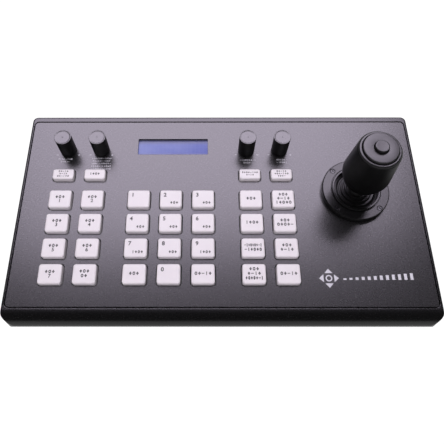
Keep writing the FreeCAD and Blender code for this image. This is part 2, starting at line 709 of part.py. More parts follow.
def make_stick_shaft():
    """Tilt hub with its pins, the stem through the boot, the collar and the shaft inside the grip."""
    x, y, z = STICK_X, STICK_Y, PIVOT_Z
    hub = round_box(x, y, 2 * HUB_HALF, 2 * HUB_HALF, z - HUB_HALF_H, z + HUB_HALF_H, YOKE_R)
    pins = rod(HUB_PIN_R, 2 * YOKE_X, V(x - YOKE_X, y, z), V(1, 0, 0))
    stem = disc(x, y, STEM_R, z, COLLAR_Z[0])
    collar = disc(x, y, COLLAR_R, *COLLAR_Z)
    shaft = disc(x, y, STICK_R, COLLAR_Z[0], STICK_TOP)
    return hub.fuse([pins, stem, collar, shaft]).removeSplitter()


def boot_point(t, lift):
    """Point of the boot's dome from its foot (t = 0) to the root of its neck (t = 1), lifted outwards."""
    angle = math.radians(BOOT_FOOT[0] + (BOOT_ROOT[0] - BOOT_FOOT[0]) * t)
    reach = BOOT_FOOT[1] + (BOOT_ROOT[1] - BOOT_FOOT[1]) * t + lift
    return V(reach * math.sin(angle), 0, PIVOT_Z + reach * math.cos(angle))


def boot_ridges(lift):
    """Arcs along the dome, ridge and valley in turn, with a ridge at each end."""
    arcs = []
    steps = 2 * BOOT_RIDGES - 1
    for i in range(steps):
        bulge = BOOT_RIDGE_H if i % 2 == 0 else -BOOT_VALLEY_D
        start = boot_point(i / steps, lift)
        middle = boot_point((i + 0.5) / steps, lift + bulge)
        end = boot_point((i + 1) / steps, lift)
        arcs.append(Part.Arc(start, middle, end).toShape())
    return arcs


def make_boot():
    """Rubber bellows: a bead inside the clamp ring, a ridged dome and a neck round the collar."""
    inner_neck_r = BOOT_NECK_R - BOOT_SKIN
    neck = [
        boot_point(1, 0), V(BOOT_NECK_R, 0, BOOT_NECK_Z[0]), V(BOOT_NECK_R, 0, BOOT_NECK_Z[1]),
        V(inner_neck_r, 0, BOOT_NECK_Z[1]), V(inner_neck_r, 0, BOOT_NECK_Z[0] - BOOT_SKIN),
        boot_point(1, -BOOT_SKIN),
    ]
    foot = [
        boot_point(0, -BOOT_SKIN), V(BOOT_BEAD_R - BOOT_SKIN, 0, 0), V(BOOT_BEAD_R, 0, 0),
        V(BOOT_BEAD_R, 0, BOOT_BEAD_TOP), boot_point(0, 0),
    ]
    edges = boot_ridges(0.0) + boot_ridges(-BOOT_SKIN)
    for run in (neck, foot):
        edges += [Part.LineSegment(a, b).toShape() for a, b in zip(run, run[1:])]
    wire = Part.Wire(Part.__sortEdges__(edges))
    solid = Part.Face(wire).revolve(V(0, 0, 0), V(0, 0, 1), 360)
    solid.translate(V(STICK_X, STICK_Y, 0))
    return solid


def make_grip():
    """Grip sleeve, turning on the stick's shaft: flared foot, slight taper and a rounded top rim."""
    pocket_r = CAP_R + CAP_GAP
    bearing_r = STICK_R + RUN_FIT
    bearing_top = STICK_TOP + 1.0
    outline = [
        (bearing_r, GRIP_BOTTOM), (GRIP_BOTTOM_R - GRIP_EDGE, GRIP_BOTTOM),
        (GRIP_BOTTOM_R, GRIP_BOTTOM + GRIP_EDGE), (GRIP_KINK_R - GRIP_EDGE, GRIP_KINK - GRIP_EDGE),
        (GRIP_KINK_R, GRIP_KINK + GRIP_EDGE),
        (GRIP_RIM_R, GRIP_RIM), (GRIP_TOP_R, GRIP_TOP), (pocket_r, GRIP_TOP), (pocket_r, CAP_SEAT),
        (GRIP_BEARING_R, CAP_SEAT), (GRIP_BEARING_R, bearing_top), (bearing_r, bearing_top),
    ]
    return revolve(outline, STICK_X, STICK_Y)


def make_grip_cap():
    """Raised disc on top of the grip, with the button's guide, and the button switch under it."""
    space_r, space_top = BUTTON_SPACE
    outline = [
        (GUIDE_R, space_top), (space_r, space_top), (space_r, CAP_SEAT), (CAP_R, CAP_SEAT),
        (CAP_R, CAP_TOP - CAP_EDGE), (CAP_R - CAP_EDGE, CAP_TOP), (GUIDE_R, CAP_TOP),
    ]
    cap = revolve(outline, STICK_X, STICK_Y)
    switch = disc(STICK_X, STICK_Y, BUTTON_SWITCH_R, STICK_TOP + 1.0, CAP_SEAT)
    return Part.makeCompound([cap, switch])


def make_grip_button():
    flange_r, flange_bottom, flange_top = BUTTON_FLANGE
    stem_r, stem_bottom = BUTTON_STEM
    outline = [
        (0.0, stem_bottom), (stem_r, stem_bottom), (stem_r, flange_bottom), (flange_r, flange_bottom),
        (flange_r, flange_top), (BUTTON_R, flange_top), (BUTTON_R, BUTTON_TOP - BUTTON_EDGE),
        (BUTTON_R - BUTTON_EDGE, BUTTON_TOP), (0.0, BUTTON_TOP),
    ]
    return revolve(outline, STICK_X, STICK_Y)


# ---------------------------------------------------------------- rear connectors
def make_socket(x):
    """Network-type socket: a shell with its mouth and the notch for the plug's latch."""
    face = REAR_Y + SOCKET_PROUD
    width, depth, height = SOCKET_SIZE
    mouth_w, mouth_d, mouth_h = SOCKET_MOUTH
    mouth_z = REAR_Z - SOCKET_MOUTH_BOTTOM
    mouth_top = mouth_z + mouth_h
    shell = box(x - width / 2, x + width / 2, face - depth, face, REAR_Z - height / 2, REAR_Z + height / 2)
    mouth = box(x - mouth_w / 2, x + mouth_w / 2, face - mouth_d, face + CUT, mouth_z, mouth_top)
    latch = box(x - LATCH_HALF, x + LATCH_HALF, face - LATCH_DEPTH, face + CUT,
                mouth_z, mouth_top + LATCH_H)
    return shell.cut([mouth, latch])


def make_jack():
    """Low-voltage power jack: a round body with its centre pin standing in the barrel."""
    face = REAR_Y + SOCKET_PROUD
    bottom = face - JACK_BARREL_DEPTH
    body = rod(JACK_R, JACK_DEPTH, V(JACK_X, face - JACK_DEPTH, REAR_Z), V(0, 1, 0))
    barrel = rod(JACK_BARREL_R, JACK_BARREL_DEPTH + CUT, V(JACK_X, bottom, REAR_Z), V(0, 1, 0))
    pin = rod(JACK_PIN_R, JACK_PIN_ROOT + JACK_PIN_L, V(JACK_X, bottom - JACK_PIN_ROOT, REAR_Z), V(0, 1, 0))
    return body.cut(barrel).fuse(pin).removeSplitter()


def make_power_switch():
    """Body of the power switch behind the wall, its bezel and the pocket that the rocker sits in."""
    half_w, depth, half_h = SWITCH_BODY
    bezel_w, bezel_t, bezel_h = BEZEL
    face = REAR_Y + bezel_t
    body = box(SWITCH_X - half_w, SWITCH_X + half_w, REAR_Y - depth, REAR_Y, REAR_Z - half_h, REAR_Z + half_h)
    bezel = box(SWITCH_X - bezel_w, SWITCH_X + bezel_w, REAR_Y, face, REAR_Z - bezel_h, REAR_Z + bezel_h)
    outer_edges = [e for e in bezel.Edges if e.BoundBox.YMin > face - 0.01]
    bezel = bezel.makeChamfer(BEZEL_EDGE, outer_edges)
    pocket_w = ROCKER_HALF + ROCKER_GAP[0]
    pocket_h = ROCKER_H / 2.0 + ROCKER_GAP[1]
    pocket = box(SWITCH_X - pocket_w, SWITCH_X + pocket_w, REAR_Y - SWITCH_POCKET_DEPTH, face + CUT,
                 REAR_Z - pocket_h, REAR_Z + pocket_h)
    return body.fuse(bezel).cut(pocket).removeSplitter()


def make_power_rocker():
    """Rocker with a shallow V face, tilted to its off position about an upright axis."""
    low = REAR_Z - ROCKER_H / 2.0
    left = V(-ROCKER_HALF, ROCKER_RISE, low)
    right = V(ROCKER_HALF, ROCKER_RISE, low)
    left_root = V(-ROCKER_HALF, ROCKER_ROOT, low)
    right_root = V(ROCKER_HALF, ROCKER_ROOT, low)
    valley = V(0, 0, low)
    edges = [
        Part.LineSegment(left, valley).toShape(),
        Part.LineSegment(valley, right).toShape(),
        Part.LineSegment(right, right_root).toShape(),
        Part.Arc(right_root, V(0, ROCKER_BELLY, low), left_root).toShape(),
        Part.LineSegment(left_root, left).toShape(),
    ]
    rocker = Part.Face(Part.Wire(edges)).extrude(V(0, 0, ROCKER_H))
    rocker.rotate(V(0, 0, 0), V(0, 0, 1), -ROCKER_TILT)
    rocker.translate(V(SWITCH_X, REAR_Y + ROCKER_AXIS_OUT, 0))
    return rocker


# ---------------------------------------------------------------- the pieces
def main():
    os.makedirs("parts", exist_ok=True)
    save("upper_case", make_upper_case())
    save("bottom_cover", make_bottom_cover())
    save_group("rubber_feet", make_feet())
    save_group("case_screws", make_screws())
    save("panel_plate", on_panel(make_panel_plate()))
    save("main_board", on_panel(make_board()))
    save_group("board_posts", [on_panel(s) for s in make_posts()])
    save_group("key_switches", [on_panel(s) for s in make_key_switches()])
    save("lcd_window", on_panel(make_window()))
    save("lcd_module", on_panel(make_display_module()))
    for name, x, y, w, d in key_table():
        save(name, on_panel(make_key(x, y, w, d)))
    for name, x, y in knob_table():
        save(name, on_panel(make_knob(x, y)))
    save_group("encoders", [on_panel(s) for s in make_encoders()])
    save("stick_flange", on_panel(make_flange()))
    save_group("flange_screws", [on_panel(s) for s in make_flange_screws()])
    save("gimbal_housing", on_panel(make_gimbal_housing()))
    save("pan_sensor", on_panel(make_pan_sensor()))
    save("pan_yoke", on_panel(make_pan_yoke()))
    save("stick_shaft", on_panel(make_stick_shaft()))
    save("boot", on_panel(make_boot()))
    save("grip", on_panel(make_grip()))
    save("grip_cap", on_panel(make_grip_cap()))
    save("grip_button", on_panel(make_grip_button()))
    save_group("rear_sockets", [make_socket(x) for x in SOCKET_X] + [make_jack()])
    save("power_switch", make_power_switch())
    save("power_rocker", make_power_rocker())


main()
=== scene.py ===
import json
import math

import bpy
from mathutils import Matrix, Vector


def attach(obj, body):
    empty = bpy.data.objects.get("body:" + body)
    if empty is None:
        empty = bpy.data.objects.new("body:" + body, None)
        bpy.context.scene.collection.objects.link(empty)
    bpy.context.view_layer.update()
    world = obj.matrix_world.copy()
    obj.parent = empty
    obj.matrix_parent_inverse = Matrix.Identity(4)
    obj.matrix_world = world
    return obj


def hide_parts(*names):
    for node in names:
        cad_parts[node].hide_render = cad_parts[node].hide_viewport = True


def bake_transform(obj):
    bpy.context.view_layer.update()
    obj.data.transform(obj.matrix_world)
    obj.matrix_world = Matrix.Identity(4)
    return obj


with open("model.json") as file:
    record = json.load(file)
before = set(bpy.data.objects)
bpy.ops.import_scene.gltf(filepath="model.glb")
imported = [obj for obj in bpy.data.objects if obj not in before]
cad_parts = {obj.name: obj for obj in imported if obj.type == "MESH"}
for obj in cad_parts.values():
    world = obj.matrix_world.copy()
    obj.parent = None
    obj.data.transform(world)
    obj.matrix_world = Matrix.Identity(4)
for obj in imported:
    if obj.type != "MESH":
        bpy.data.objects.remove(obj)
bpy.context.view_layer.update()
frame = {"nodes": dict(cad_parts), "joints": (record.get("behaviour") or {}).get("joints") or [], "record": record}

# Desktop joystick control console. Lengths are millimetres in the panel's own frame (x right, y up
# the slope, z out of the panel, zero at the middle of its surface) unless a name ends in _M.
# on_panel() turns them into the row frame, in metres.
MM = 0.001
NODES = frame["nodes"]
JOINTS = {joint["name"]: joint for joint in frame["joints"]}
MOUNTS = {mount["name"]: mount for mount in frame["record"]["mounts"]}

STICK = (106.7, 12.7)
PIVOT_Z = -14.0
KEY_TOP = 3.5
KEY_BOTTOM = -3.4
LARGE_KEY = (17.8, 15.6)
SMALL_KEY = (17.4, 9.6)
KNOB_Y = 52.0
KNOB_X = (-125.4, -98.0, 22.0, 49.4)

ACROSS = Vector((1.0, 0.0, 0.0))
UP_SLOPE = Vector(JOINTS["stick_pan"]["axis"])
NORMAL = Vector(JOINTS["knob_1_turn"]["axis"])
PIVOT_M = Vector(JOINTS["stick_pan"]["pos_m"])
ORIGIN_M = PIVOT_M - (STICK[0] * ACROSS + STICK[1] * UP_SLOPE + PIVOT_Z * NORMAL) * MM


def on_panel(x, y, z):
    return ORIGIN_M + (x * ACROSS + y * UP_SLOPE + z * NORMAL) * MM


def panel_xy(joint_name):
    """Panel x and y of the point that a joint's record gives."""
    offset = Vector(JOINTS[joint_name]["pos_m"]) - ORIGIN_M
    return offset.dot(ACROSS) / MM, offset.dot(UP_SLOPE) / MM


# ------------------------------------------------------------------ camera
# The camera stands over the front edge and looks down at the panel. Its place and its aim are in
# the panel's frame; the principal point sits a little left of the picture's middle.
CAMERA_PLACE = (-11.9, -160.9, 337.6)
CAMERA_FORWARD = (-0.00254, 0.40270, -0.91533)
CAMERA_RIGHT = (1.0, 0.00075, -0.00245)
LENS = 38.46
SENSOR = 36.0
SHIFT = (0.0402, -0.0019)


def make_camera():
    data = bpy.data.cameras.new("camera")
    data.lens = LENS
    data.sensor_width = SENSOR
    data.shift_x, data.shift_y = SHIFT
    data.clip_start = 0.01
    camera = bpy.data.objects.new("camera", data)
    bpy.context.scene.collection.objects.link(camera)

    def direction(v):
        return v[0] * ACROSS + v[1] * UP_SLOPE + v[2] * NORMAL

    forward = direction(CAMERA_FORWARD).normalized()
    right = direction(CAMERA_RIGHT)
    right = (right - right.dot(forward) * forward).normalized()
    up = right.cross(forward)
    rotation = Matrix((right, up, -forward)).transposed()
    camera.matrix_world = Matrix.Translation(on_panel(*CAMERA_PLACE)) @ rotation.to_4x4()
    bpy.context.scene.camera = camera


# ------------------------------------------------------------------ stage and light
FLOOR_HALF_M = 3.0
BACKDROP_R_M = 2.9
BACKDROP_H_M = 4.0
BACKDROP_SIDES = 64
AIM_M = (0.0, 0.0, 0.03)
# name: place, size, radiance, colour and the kind of ray that it lights
LIGHTS = {
    "rear_softbox": ((-0.08, 1.14, 2.15), (2.5, 1.46), 5.15, (1.0, 0.90, 1.10), "glossy"),
    "rear_fill": ((0.05, 0.85, 1.50), (2.4, 1.0), 1.8, (1.0, 0.97, 1.01), "diffuse"),
    "front_fill": ((-0.2, -1.20, 1.10), (1.4, 1.0), 4.2, (1.0, 0.95, 1.0), "diffuse"),
    "top_fill": ((0.0, 0.0, 1.80), (2.0, 2.0), 1.3, (1.0, 0.96, 1.01), "diffuse"),
}
WORLD_STRENGTH = 0.04
WORLD_COLOR = (1.0, 0.98, 1.0, 1.0)
FLOOR_PAINT = (0.20, 0.9)       # grey level and glow
WALL_PAINT = (0.20, 0.93)
GLOSS_FLOOR_PAINT = (0.45, 0.05)
GLOSS_FLOOR_Z_M = -0.0002


def make_light(name, place, size, radiance, color, kind):
    data = bpy.data.lights.new(name, "AREA")
    data.shape = "RECTANGLE"
    data.size, data.size_y = size
    data.energy = radiance * math.pi * size[0] * size[1]
    data.color = color
    light = bpy.data.objects.new(name, data)
    light.location = place
    light.rotation_euler = (Vector(AIM_M) - Vector(place)).to_track_quat("-Z", "Y").to_euler()
    light.visible_diffuse = kind == "diffuse"
    light.visible_glossy = kind == "glossy"
    bpy.context.scene.collection.objects.link(light)


def make_floor(name, z, material):
    size = FLOOR_HALF_M
    corners = [(-size, -size, z), (size, -size, z), (size, size, z), (-size, size, z)]
    mesh = bpy.data.meshes.new(name)
    mesh.from_pydata(corners, [], [(0, 1, 2, 3)])
    mesh.materials.append(material)
    floor = bpy.data.objects.new(name, mesh)
    bpy.context.scene.collection.objects.link(floor)
    return floor


def make_backdrop(material):
    """Pale wall all round, seen by the camera alone, so that it takes no part in the light."""
    sides = BACKDROP_SIDES
    verts = []
    for z in (0.0, BACKDROP_H_M):
        for i in range(sides):
            a = 2 * math.pi * i / sides
            verts.append((BACKDROP_R_M * math.cos(a), BACKDROP_R_M * math.sin(a), z))
    faces = []
    for i in range(sides):
        j = (i + 1) % sides
        faces.append((i, j, j + sides, i + sides))
    mesh = bpy.data.meshes.new("backdrop")
    mesh.from_pydata(verts, [], faces)
    mesh.materials.append(material)
    backdrop = bpy.data.objects.new("backdrop", mesh)
    bpy.context.scene.collection.objects.link(backdrop)
    for ray in ("diffuse", "glossy", "transmission", "shadow"):
        setattr(backdrop, "visible_" + ray, False)


def make_stage():
    """White floor and wall, and a dimmer floor just under it that only the object's gloss sees."""
    floor = make_floor("floor", 0.0, floor_material("floor_white", *FLOOR_PAINT))
    floor.visible_glossy = False
    mirrored = make_floor("floor_in_gloss", GLOSS_FLOOR_Z_M, floor_material("floor_dim", *GLOSS_FLOOR_PAINT))
    mirrored.visible_camera = False
    mirrored.visible_diffuse = False
    mirrored.visible_shadow = False
    make_backdrop(floor_material("wall_white", *WALL_PAINT))
    world = bpy.data.worlds.new("world")
    world.use_nodes = True
    background = world.node_tree.nodes["Background"]
    background.inputs["Color"].default_value = WORLD_COLOR
    background.inputs["Strength"].default_value = WORLD_STRENGTH
    bpy.context.scene.world = world
    bpy.context.scene.view_settings.view_transform = "Standard"
    for name, settings in LIGHTS.items():
        make_light(name, *settings)


# ------------------------------------------------------------------ materials
class Shader:
    """A Principled material with small helpers for its procedural nodes."""

    def __init__(self, name, color, roughness, edge=0.0, **sockets):
        self.material = bpy.data.materials.new(name)
        self.material.use_nodes = True
        self.nodes = self.material.node_tree.nodes
        self.links = self.material.node_tree.links
        self.bsdf = self.nodes["Principled BSDF"]
        self.set("Base Color", (*color, 1.0))
        self.set("Roughness", roughness)
        for key, value in sockets.items():
            self.set(key.replace("_", " "), value)
        self.coords = self.nodes.new("ShaderNodeTexCoord").outputs["Object"]
        self.normal = None
        if edge:
            self.round_edges(edge)

    def set(self, socket, value):
        self.bsdf.inputs[socket].default_value = value

    def round_edges(self, radius_mm):
        """Shade sharp edges as if they had this radius."""
        node = self.nodes.new("ShaderNodeBevel")
        node.samples = 6
        node.inputs["Radius"].default_value = radius_mm * MM
        self.normal = node.outputs["Normal"]
        self.links.new(self.normal, self.bsdf.inputs["Normal"])

    def noise(self, scale, detail=2.0, roughness=0.5, stretch=None):
        vector = self.coords
        if stretch:
            mapping = self.nodes.new("ShaderNodeMapping")
            mapping.inputs["Scale"].default_value = stretch
            self.links.new(vector, mapping.inputs["Vector"])
            vector = mapping.outputs["Vector"]
        node = self.nodes.new("ShaderNodeTexNoise")
        node.inputs["Scale"].default_value = scale
        node.inputs["Detail"].default_value = detail
        node.inputs["Roughness"].default_value = roughness
        self.links.new(vector, node.inputs["Vector"])
        return node.outputs["Fac"]

    def along(self, direction, start, end):
        """0 at the point start and 1 at the point end, measured along a direction, in metres."""
        node = self.nodes.new("ShaderNodeVectorMath")
        node.operation = "DOT_PRODUCT"
        node.inputs[1].default_value = direction
        self.links.new(self.coords, node.inputs[0])
        first = Vector(direction).dot(start)
        last = Vector(direction).dot(end)
        return self.ramp(node.outputs["Value"], 0.0, 1.0, first, last)

    def ramp(self, factor, low, high, start=0.3, end=0.7):
        node = self.nodes.new("ShaderNodeMapRange")
        node.inputs["From Min"].default_value = start
        node.inputs["From Max"].default_value = end
        node.inputs["To Min"].default_value = low
        node.inputs["To Max"].default_value = high
        self.links.new(factor, node.inputs["Value"])
        return node.outputs["Result"]

    def combine(self, operation, a, b):
        node = self.nodes.new("ShaderNodeMath")
        node.operation = operation
        for socket, value in zip(node.inputs, (a, b)):
            if isinstance(value, (int, float)):
                socket.default_value = value
            else:
                self.links.new(value, socket)
        return node.outputs["Value"]

    def mix_color(self, factor, low, high):
        node = self.nodes.new("ShaderNodeMix")
        node.data_type = "RGBA"
        for name, value in (("A", low), ("B", high)):
            socket = [s for s in node.inputs if s.name == name and s.type == "RGBA"][0]
            if isinstance(value, tuple):
                socket.default_value = (*value, 1.0)
            else:
                self.links.new(value, socket)
        self.links.new(factor, node.inputs["Factor"])
        return [s for s in node.outputs if s.type == "RGBA"][0]

    def color_from(self, factor, low, high, start=0.3, end=0.7):
        mixed = self.mix_color(self.ramp(factor, 0.0, 1.0, start, end), low, high)
        self.links.new(mixed, self.bsdf.inputs["Base Color"])

    def roughness_from(self, factor, low, high):
        self.links.new(self.ramp(factor, low, high), self.bsdf.inputs["Roughness"])

    def bump(self, factor, depth_mm, strength=1.0):
        node = self.nodes.new("ShaderNodeBump")
        node.inputs["Distance"].default_value = depth_mm * MM
        node.inputs["Strength"].default_value = strength
        self.links.new(factor, node.inputs["Height"])
        if self.normal:
            self.links.new(self.normal, node.inputs["Normal"])
        self.normal = node.outputs["Normal"]
        self.links.new(self.normal, self.bsdf.inputs["Normal"])


def floor_material(name, level, glow):
    """Paper sweep; its glow keeps it pale in the object's soft shadow."""
    shader = Shader(name, (level,) * 3, 0.9, Specular_IOR_Level=0.0)
    shader.color_from(shader.noise(6.0), (level * 0.97,) * 3, (level * 1.03,) * 3)
    shader.set("Emission Color", (1.0, 1.0, 1.0, 1.0))
    shader.set("Emission Strength", glow)
    return shader.material


def textured_coat(name, low, high, roughness, grain, depth, **sockets):
    """Fine-textured satin coating: tiny grain, faint cloudy colour and uneven gloss."""
    shader = Shader(name, low, roughness, **sockets)
    shader.color_from(shader.noise(700.0, 3.0), low, high)
    shader.roughness_from(shader.noise(900.0, 2.0), roughness - 0.012, roughness + 0.012)
    shader.bump(shader.noise(grain, 2.0, 0.6), depth)
    return shader.material


def moulded_plastic(name, low, high, roughness, grain=1800.0, depth=0.01, **sockets):
    """Satin plastic or rubber: faint colour drift, uneven gloss and a fine skin."""
    shader = Shader(name, low, roughness, **sockets)
    shader.color_from(shader.noise(140.0, 3.0), low, high)
    shader.roughness_from(shader.noise(420.0, 2.0), roughness - 0.04, roughness + 0.05)
    shader.bump(shader.noise(grain, 2.0), depth)
    return shader.material


def metal(name, low, high, roughness, stretch=(1.0, 1.0, 1.0)):
    shader = Shader(name, low, roughness, edge=0.15, Metallic=1.0)
    shader.color_from(shader.noise(300.0, 3.0, stretch=stretch), low, high)
    shader.roughness_from(shader.noise(900.0, 2.0, stretch=stretch), roughness - 0.06, roughness + 0.08)
    shader.bump(shader.noise(1500.0, 2.0, stretch=stretch), 0.006)
    return shader.material


WINDOW_LOW = (-68.0, 48.0)
WINDOW_HIGH = (-10.0, 63.0)
FIELD_LEFT = (0.112, 0.136, 0.318)
FIELD_RIGHT = (0.020, 0.038, 0.225)
# painted shade: dark grey along the top of the field, where the opening's rear edge shadows it
PAINTED_SHADE_TOP = (0.052, 0.048, 0.072)
# painted highlight: paler grey along the bottom of the field, where the opening's lower edge catches the light
PAINTED_HIGHLIGHT_BOTTOM = (0.115, 0.122, 0.262)
CELL_BLUE = (0.10, 0.13, 0.33)
CELL = (3.4, 6.2)
CELL_GAP = 0.35


def display_material():
    """Lit blue field behind a clear window: paler at the left, deeper at the right, with painted shade along its
    top edge and a painted highlight along its bottom edge, and a faint grid of empty character cells."""
    shader = Shader("display_blue", (0.05, 0.08, 0.28), 0.16, Specular_IOR_Level=0.3)
    left = on_panel(WINDOW_LOW[0], WINDOW_HIGH[1], 0)
    right = on_panel(WINDOW_HIGH[0], WINDOW_HIGH[1], 0)
    bottom = on_panel(WINDOW_LOW[0], WINDOW_LOW[1], 0)
    side = shader.along(ACROSS, left, right)
    down = shader.along(UP_SLOPE, left, bottom)
    across = shader.combine("MULTIPLY", side, 0.6)
    downwards = shader.combine("MULTIPLY", down, 0.4)
    depth = shader.combine("ADD", across, downwards)
    cloudy = shader.combine("ADD", depth, shader.ramp(shader.noise(60.0, 3.0), -0.18, 0.18))
    field = shader.mix_color(cloudy, FIELD_LEFT, FIELD_RIGHT)
    # painted shade darkens the top of the field
    field = shader.mix_color(shader.ramp(down, 0.85, 0.0, 0.02, 0.30), field, PAINTED_SHADE_TOP)
    # painted highlight lightens the bottom of the field
    field = shader.mix_color(shader.ramp(down, 0.0, 0.5, 0.78, 0.96), field, PAINTED_HIGHLIGHT_BOTTOM)
    cells = shader.nodes.new("ShaderNodeTexBrick")
    cells.offset = 0.0
    cells.inputs["Scale"].default_value = 1.0
    cells.inputs["Brick Width"].default_value = CELL[0] * MM
    cells.inputs["Row Height"].default_value = CELL[1] * MM
    cells.inputs["Mortar Size"].default_value = CELL_GAP * MM
    shader.links.new(shader.coords, cells.inputs["Vector"])
    lit = shader.mix_color(shader.ramp(cells.outputs["Fac"], 0.0, 0.10, 0.0, 1.0), field, CELL_BLUE)
    for socket in ("Base Color", "Emission Color"):
        shader.links.new(lit, shader.bsdf.inputs[socket])
    shader.set("Emission Strength", 0.5)
    shader.bump(shader.noise(900.0), 0.002)
    return shader.material


def black(level):
    """Near-black with a faint violet cast."""
    return (level, level * 0.98, level * 1.05)


MATERIALS = {
    "case_black": textured_coat("case_black", black(0.0015), black(0.0025), 0.28, 2600.0, 0.005, edge=0.5,
                                Specular_IOR_Level=0.75),
    "panel_black": textured_coat("panel_black", black(0.0065), black(0.0095), 0.28, 1400.0, 0.012, edge=0.3,
                                 Specular_IOR_Level=0.9),
    "cover_black": textured_coat("cover_black", black(0.012), black(0.02), 0.45, 1600.0, 0.02, edge=0.3),
    "key_white": moulded_plastic("key_white", (0.652, 0.616, 0.652), (0.670, 0.634, 0.670), 0.42,
                                 depth=0.006),
    "legend_ink": moulded_plastic("legend_ink", (0.010, 0.010, 0.013), (0.016, 0.016, 0.020), 0.6),
    "print_white": moulded_plastic("print_white", (0.50, 0.49, 0.55), (0.58, 0.57, 0.63), 0.5),
    "knob_black": moulded_plastic("knob_black", black(0.002), black(0.003), 0.36),
    "knob_top": textured_coat("knob_top", black(0.012), black(0.018), 0.26, 3200.0, 0.008,
                              Specular_IOR_Level=0.95),
    "grip_black": moulded_plastic("grip_black", black(0.0015), black(0.0025), 0.38, 1400.0, 0.008,
                                  Specular_IOR_Level=0.16),
    "grip_top": textured_coat("grip_top", black(0.008), black(0.011), 0.32, 1700.0, 0.010,
                              Specular_IOR_Level=0.72),
    "flange_black": textured_coat("flange_black", black(0.003), black(0.006), 0.25, 2400.0, 0.007, edge=0.3,
                                  Specular_IOR_Level=0.58),
    "boot_rubber": moulded_plastic("boot_rubber", black(0.002), black(0.004), 0.36, 1200.0, 0.012),
    "rubber_black": moulded_plastic("rubber_black", black(0.012), black(0.02), 0.75, 1200.0, 0.03),
    "switch_black": moulded_plastic("switch_black", black(0.010), black(0.016), 0.4, edge=0.3),
    "gimbal_grey": moulded_plastic("gimbal_grey", (0.08, 0.08, 0.085), (0.11, 0.11, 0.115), 0.5),
    "board_green": moulded_plastic("board_green", (0.01, 0.07, 0.03), (0.02, 0.10, 0.04), 0.3),
    "screw_steel": metal("screw_steel", (0.42, 0.42, 0.43), (0.55, 0.55, 0.56), 0.32),
    "screw_black": metal("screw_black", (0.08, 0.08, 0.082), (0.13, 0.13, 0.133), 0.26),
    "shaft_black": metal("shaft_black", (0.05, 0.05, 0.052), (0.08, 0.08, 0.082), 0.3, (1.0, 1.0, 0.1)),
    "post_brass": metal("post_brass", (0.60, 0.43, 0.18), (0.72, 0.55, 0.26), 0.3),
    "gold_contact": metal("gold_contact", (0.75, 0.55, 0.2), (0.85, 0.65, 0.3), 0.25),
    "display_blue": display_material(),
}
NODE_MATERIALS = {
    "upper_case": "case_black", "panel_plate": "panel_black", "bottom_cover": "cover_black",
    "rubber_feet": "rubber_black", "case_screws": "screw_steel", "main_board": "board_green",
    "board_posts": "post_brass", "key_switches": "switch_black", "lcd_window": "display_blue",
    "lcd_module": "screw_steel", "encoders": "screw_steel", "stick_flange": "flange_black",
    "flange_screws": "screw_black", "gimbal_housing": "gimbal_grey", "pan_sensor": "switch_black",
    "pan_yoke": "gimbal_grey", "stick_shaft": "shaft_black", "rear_sockets": "switch_black",
    "power_switch": "switch_black", "power_rocker": "switch_black",
}


def paint_nodes():
    for node, name in NODE_MATERIALS.items():
        mesh = NODES[node].data
        mesh.materials.clear()
        mesh.materials.append(MATERIALS[name])


# ------------------------------------------------------------------ mesh helpers
def make_piece(name, verts, faces, body, material, replaces=(), smooth=True):
    """A mesh from row-frame points in metres, riding on a body if one is named."""
    mesh = bpy.data.meshes.new(name)
    mesh.from_pydata([tuple(v) for v in verts], [], faces)
    mesh.validate()
    if smooth:
        mesh.polygons.foreach_set("use_smooth", [True] * len(mesh.polygons))
    mesh.materials.append(MATERIALS[material])
    piece = bpy.data.objects.new(name, mesh)
    bpy.context.scene.collection.objects.link(piece)
    if body:
        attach(piece, body)
    if replaces:
        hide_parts(*replaces)
    return piece


def soften(points, steps=5):
    """Outline with its corners rounded. Points are (radius, height, corner radius)."""
    out = []
    count = len(points)
    for i, (r, z, corner) in enumerate(points):
        here = Vector((r, z))
        if corner <= 0 or i in (0, count - 1):
            out.append(here)
            continue
        before = Vector(points[i - 1][:2]) - here
        after = Vector(points[i + 1][:2]) - here
        reach = min(corner, before.length * 0.48, after.length * 0.48)
        a = here + before.normalized() * reach
        b = here + after.normalized() * reach
        for s in range(steps + 1):
            t = s / steps
            out.append(a * (1 - t) ** 2 + here * 2 * t * (1 - t) + b * t ** 2)
    return out


def lathe(name, outline, centre, body, material, replaces=(), segments=96, flutes=None):
    """Solid of revolution about the panel's normal through centre. The outline starts and ends on the
    axis, or is a closed loop. Flutes are (count, depth, low, high): grooves along the side between two
    heights."""
    verts = []
    faces = []
    index = []
    for r, z in soften(outline):
        if r < 1e-6:
            index.append([len(verts)] * segments)
            verts.append(on_panel(centre[0], centre[1], z))
            continue
        fluted = flutes and flutes[2] <= z <= flutes[3]
        ring = []
        for s in range(segments):
            a = 2 * math.pi * s / segments
            reach = r - flutes[1] * (0.5 - 0.5 * math.cos(flutes[0] * a)) if fluted else r
            ring.append(len(verts))
            verts.append(on_panel(centre[0] + reach * math.cos(a), centre[1] + reach * math.sin(a), z))
        index.append(ring)
    if Vector(outline[0][:2]) == Vector(outline[-1][:2]) and outline[0][0] > 0:
        del verts[index[-1][0]:]
        index[-1] = index[0]
    for low, high in zip(index, index[1:]):
        for s in range(segments):
            t = (s + 1) % segments
            corners = list(dict.fromkeys((low[s], low[t], high[t], high[s])))
            if len(corners) > 2:
                faces.append(corners)
    return make_piece(name, verts, faces, body, material, replaces)


def paint_above(piece, z, material):
    """Gives the faces above a height over the panel another material."""
    piece.data.materials.append(MATERIALS[material])
    level = NORMAL.dot(on_panel(0, 0, z))
    for polygon in piece.data.polygons:
        if NORMAL.dot(polygon.center) > level:
            polygon.material_index = 1


